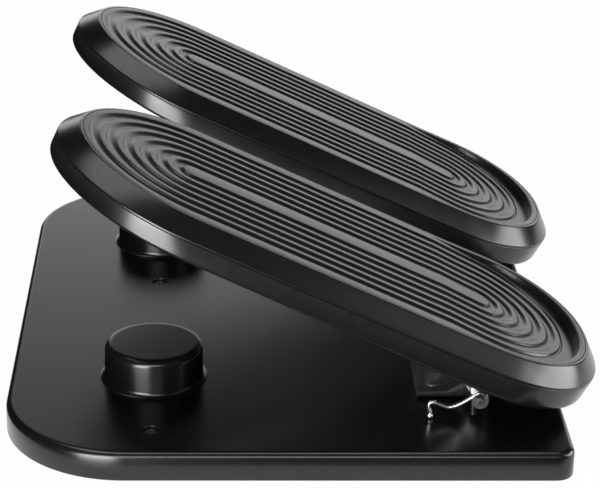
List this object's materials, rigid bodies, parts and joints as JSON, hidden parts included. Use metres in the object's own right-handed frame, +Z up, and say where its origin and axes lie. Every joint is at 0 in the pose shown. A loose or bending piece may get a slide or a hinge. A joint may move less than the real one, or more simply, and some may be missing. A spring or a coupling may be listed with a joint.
{
  "type": "ergonomic footrest",
  "caption": "Low black footrest with side-by-side ribbed pedals, each hinged near the heel and sprung up at the toe over a round stop.",
  "frame": {"origin": "centre of the footrest's bounding box on the floor, under the rubber feet", "axes": "+X towards the user's heels and the hinges, +Y across the base from the left pedal to the right pedal, +Z up"},
  "size_m": [0.3216, 0.372, 0.1652],
  "materials": {
    "black_plastic": "fine satin moulding grain",
    "mat_rubber": "soft matt, ribbed",
    "foot_rubber": "matt",
    "spring_steel": "bright drawn wire",
    "dark_steel": "blackened steel, semi-gloss",
    "bush_nylon": "natural nylon"
  },
  "bodies": {
    "base": {"base_shell": "black_plastic", "base_plate": "black_plastic", "foot_pad_1": "foot_rubber", "foot_pad_2": "foot_rubber", "foot_pad_3": "foot_rubber", "foot_pad_4": "foot_rubber", "base_screw_1": "dark_steel", "base_screw_2": "dark_steel", "base_screw_3": "dark_steel", "base_screw_4": "dark_steel", "left_hinge_bracket": "dark_steel", "left_bracket_screw_1": "dark_steel", "left_bracket_screw_2": "dark_steel", "left_bracket_screw_3": "dark_steel", "left_bracket_screw_4": "dark_steel", "left_hinge_pin": "dark_steel", "left_pin_clip_1": "dark_steel", "left_pin_clip_2": "dark_steel", "left_torsion_spring_1": "spring_steel", "left_torsion_spring_2": "spring_steel", "right_hinge_bracket": "dark_steel", "right_bracket_screw_1": "dark_steel", "right_bracket_screw_2": "dark_steel", "right_bracket_screw_3": "dark_steel", "right_bracket_screw_4": "dark_steel", "right_hinge_pin": "dark_steel", "right_pin_clip_1": "dark_steel", "right_pin_clip_2": "dark_steel", "right_torsion_spring_1": "spring_steel", "right_torsion_spring_2": "spring_steel"},
    "left_pedal": {"left_pedal_cover": "black_plastic", "left_pedal_mat": "mat_rubber", "left_pedal_shell": "black_plastic", "left_pedal_screw_1": "dark_steel", "left_pedal_screw_2": "dark_steel", "left_pedal_screw_3": "dark_steel", "left_pedal_screw_4": "dark_steel", "left_bush_1": "bush_nylon", "left_bush_2": "bush_nylon"},
    "right_pedal": {"right_pedal_cover": "black_plastic", "right_pedal_mat": "mat_rubber", "right_pedal_shell": "black_plastic", "right_pedal_screw_1": "dark_steel", "right_pedal_screw_2": "dark_steel", "right_pedal_screw_3": "dark_steel", "right_pedal_screw_4": "dark_steel", "right_bush_1": "bush_nylon", "right_bush_2": "bush_nylon"}
  },
  "joints": [
    {"name": "left_pedal_hinge", "type": "hinge", "parent": "base", "child": "left_pedal", "pos_m": [0.09217, -0.09565, 0.0285], "axis": [0, -1, 0], "range_deg": [0, 26.1], "stiffness_Nm_per_rad": 4, "springref_deg": -17.19, "deforming": ["left_torsion_spring_1", "left_torsion_spring_2"]},
    {"name": "right_pedal_hinge", "type": "hinge", "parent": "base", "child": "right_pedal", "pos_m": [0.09217, 0.09565, 0.0285], "axis": [0, -1, 0], "range_deg": [0, 26.1], "stiffness_Nm_per_rad": 4, "springref_deg": -17.19, "deforming": ["right_torsion_spring_1", "right_torsion_spring_2"]}
  ]
}
